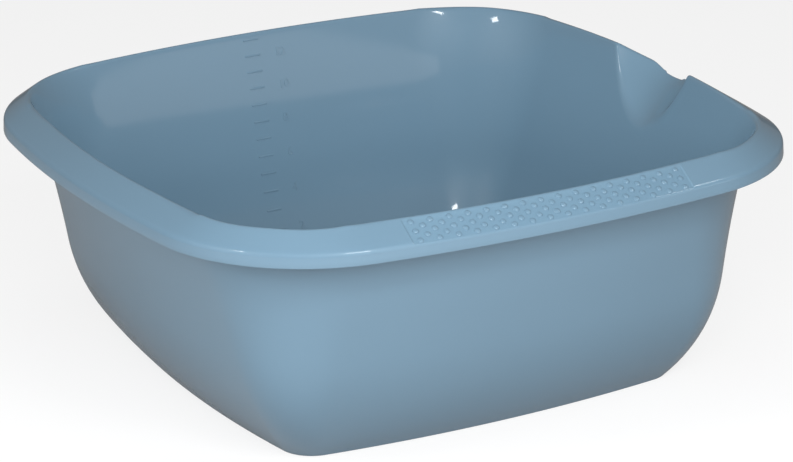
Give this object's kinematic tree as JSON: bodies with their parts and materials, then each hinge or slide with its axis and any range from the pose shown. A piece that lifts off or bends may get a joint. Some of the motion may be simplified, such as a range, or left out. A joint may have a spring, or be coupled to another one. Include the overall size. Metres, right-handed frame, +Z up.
{
  "type": "washing up bowl",
  "caption": "Square thin-walled plastic washing up bowl with bulged sides, a turned-down rim, dotted grips, a round pouring spout and a litre scale inside.",
  "frame": {"origin": "under the middle of the base, on the surface that the bowl stands on", "axes": "+Z up, +X towards the pouring spout, +Y towards the wall that carries the litre scale"},
  "size_m": [0.3924, 0.3858, 0.1488],
  "materials": {
    "bowl_plastic": "satin"
  },
  "bodies": {
    "root": {"bowl": "bowl_plastic"}
  },
  "joints": []
}
